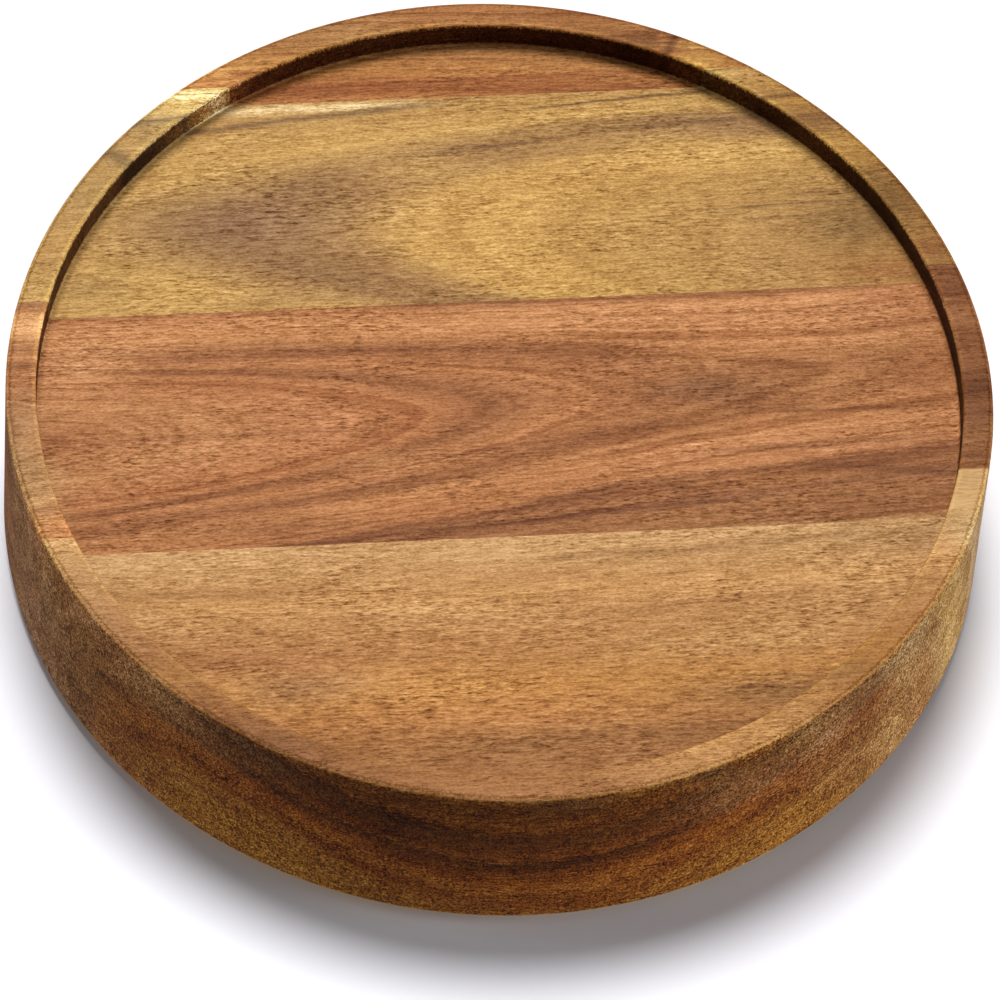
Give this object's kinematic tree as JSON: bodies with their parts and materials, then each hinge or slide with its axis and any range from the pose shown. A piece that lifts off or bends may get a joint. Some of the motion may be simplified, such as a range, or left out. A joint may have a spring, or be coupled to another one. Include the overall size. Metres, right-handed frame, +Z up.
{
  "type": "lazy susan turntable",
  "caption": "Round acacia tray with a low raised rim that turns freely on a hidden ring ball bearing above a small footed base board.",
  "frame": {"origin": "on the table top, under the centre of the tray", "axes": "+Z up along the axis that the tray turns about, +X along the wood's grain, +Y towards the rear stave"},
  "size_m": [0.254, 0.254, 0.057],
  "materials": {
    "acacia_brown": "oiled",
    "acacia_olive": "oiled",
    "acacia_red": "oiled",
    "acacia_golden": "oiled",
    "aluminium": "turned, satin",
    "zinc_plated_steel": "zinc plated",
    "ball_steel": "polished",
    "brass": "turned",
    "nylon": "moulded",
    "rubber": "matte"
  },
  "bodies": {
    "base": {"base_stave_rear": "acacia_golden", "base_stave_middle": "acacia_brown", "base_stave_front": "acacia_olive", "bearing_inner_ring": "aluminium", "inner_ring_screw_1": "zinc_plated_steel", "inner_ring_screw_2": "zinc_plated_steel", "inner_ring_screw_3": "zinc_plated_steel", "inner_ring_screw_4": "zinc_plated_steel", "rubber_foot_1": "rubber", "rubber_foot_2": "rubber", "rubber_foot_3": "rubber", "rubber_foot_4": "rubber", "foot_screw_1": "zinc_plated_steel", "foot_screw_2": "zinc_plated_steel", "foot_screw_3": "zinc_plated_steel", "foot_screw_4": "zinc_plated_steel"},
    "tray": {"tray_stave_rear": "acacia_brown", "tray_stave_mid_rear": "acacia_olive", "tray_stave_mid_front": "acacia_red", "tray_stave_front": "acacia_golden", "bearing_outer_ring": "aluminium", "ball_filling_plug": "brass", "outer_ring_screw_1": "zinc_plated_steel", "outer_ring_screw_2": "zinc_plated_steel", "outer_ring_screw_3": "zinc_plated_steel", "outer_ring_screw_4": "zinc_plated_steel"},
    "cage": {"ball_cage": "nylon", "ball_01": "ball_steel", "ball_02": "ball_steel", "ball_03": "ball_steel", "ball_04": "ball_steel", "ball_05": "ball_steel", "ball_06": "ball_steel", "ball_07": "ball_steel", "ball_08": "ball_steel", "ball_09": "ball_steel", "ball_10": "ball_steel", "ball_11": "ball_steel", "ball_12": "ball_steel", "ball_13": "ball_steel", "ball_14": "ball_steel", "ball_15": "ball_steel", "ball_16": "ball_steel", "ball_17": "ball_steel", "ball_18": "ball_steel", "ball_19": "ball_steel", "ball_20": "ball_steel"}
  },
  "joints": [
    {"name": "tray_spin", "type": "hinge", "parent": "base", "child": "tray", "pos_m": [0, 0, 0.0225], "axis": [0, 0, 1], "continuous": true},
    {"name": "cage_spin", "type": "hinge", "parent": "base", "child": "cage", "pos_m": [0, 0, 0.0225], "axis": [0, 0, 1], "continuous": true}
  ],
  "couplings": [
    {"joint": "cage_spin", "follows": "tray_spin", "ratio": 0.5152}
  ]
}
